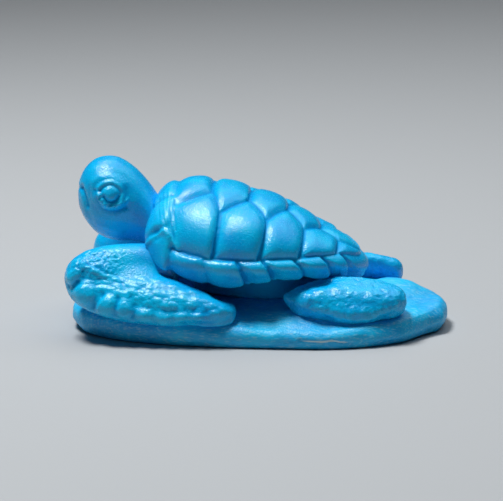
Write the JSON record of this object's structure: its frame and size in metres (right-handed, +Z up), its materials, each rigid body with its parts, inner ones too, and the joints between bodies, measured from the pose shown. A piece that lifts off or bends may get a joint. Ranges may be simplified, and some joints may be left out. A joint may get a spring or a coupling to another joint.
{
  "type": "sea turtle statuette",
  "caption": "Small polished stone sea turtle with raised head and scuted shell, lying with swept-back flippers on a low flat rock that stands on a shelf or table.",
  "frame": {"origin": "middle of the rock's flat underside, on the surface the statuette stands on", "axes": "+X from the head towards the tail, +Y to the turtle's right side, +Z up"},
  "size_m": [0.0537, 0.03, 0.024],
  "materials": {
    "polished_stone": "polished"
  },
  "bodies": {
    "root": {"rock_base": "polished_stone", "belly": "polished_stone", "shell_core": "polished_stone", "nuchal_scute": "polished_stone", "vertebral_scute_1": "polished_stone", "vertebral_scute_2": "polished_stone", "vertebral_scute_3": "polished_stone", "vertebral_scute_4": "polished_stone", "vertebral_scute_5": "polished_stone", "left_costal_scute_1": "polished_stone", "left_costal_scute_2": "polished_stone", "left_costal_scute_3": "polished_stone", "left_costal_scute_4": "polished_stone", "left_costal_scute_5": "polished_stone", "right_costal_scute_1": "polished_stone", "right_costal_scute_2": "polished_stone", "right_costal_scute_3": "polished_stone", "right_costal_scute_4": "polished_stone", "right_costal_scute_5": "polished_stone", "left_marginal_scute_1": "polished_stone", "left_marginal_scute_2": "polished_stone", "left_marginal_scute_3": "polished_stone", "left_marginal_scute_4": "polished_stone", "left_marginal_scute_5": "polished_stone", "left_marginal_scute_6": "polished_stone", "left_marginal_scute_7": "polished_stone", "left_marginal_scute_8": "polished_stone", "left_marginal_scute_9": "polished_stone", "right_marginal_scute_1": "polished_stone", "right_marginal_scute_2": "polished_stone", "right_marginal_scute_3": "polished_stone", "right_marginal_scute_4": "polished_stone", "right_marginal_scute_5": "polished_stone", "right_marginal_scute_6": "polished_stone", "right_marginal_scute_7": "polished_stone", "right_marginal_scute_8": "polished_stone", "right_marginal_scute_9": "polished_stone", "head": "polished_stone", "left_eye": "polished_stone", "right_eye": "polished_stone", "left_front_flipper": "polished_stone", "right_front_flipper": "polished_stone", "left_rear_flipper": "polished_stone", "right_rear_flipper": "polished_stone"}
  },
  "joints": []
}
